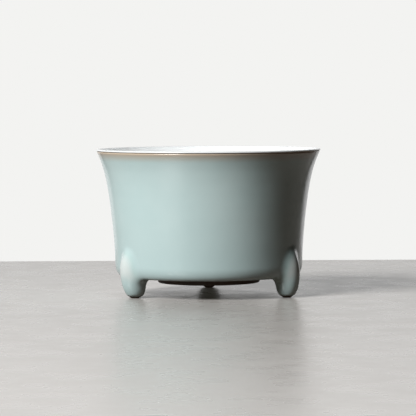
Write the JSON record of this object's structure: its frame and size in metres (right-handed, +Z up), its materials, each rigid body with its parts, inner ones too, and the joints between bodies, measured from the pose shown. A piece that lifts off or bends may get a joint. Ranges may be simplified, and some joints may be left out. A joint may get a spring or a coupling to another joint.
{
  "type": "brush holder pot",
  "caption": "Low flared round ceramic pot on three egg-shaped legs with a recessed foot ring, celadon glazed outside and white inside, open at the top.",
  "frame": {"origin": "on the pot's axis, on the surface that the legs stand on", "axes": "+Z up along the pot's axis; -Y is the front, between the front legs, with the third leg straight behind at +Y"},
  "size_m": [0.15, 0.15, 0.0975],
  "materials": {
    "iron_clay": "bare fired iron-bearing clay, dark brown, dry and slightly rough",
    "celadon_glaze": "pale blue-green celadon glaze, glossy and smooth, a little deeper where it pools",
    "white_glaze": "glossy white glaze with a faint blue cast"
  },
  "bodies": {
    "root": {"body_wall": "iron_clay", "base_slab": "iron_clay", "foot_ring": "iron_clay", "leg_front_left": "iron_clay", "leg_front_right": "iron_clay", "leg_back": "iron_clay", "glaze_outer": "celadon_glaze", "glaze_underside": "celadon_glaze", "glaze_inner": "white_glaze"}
  },
  "joints": []
}
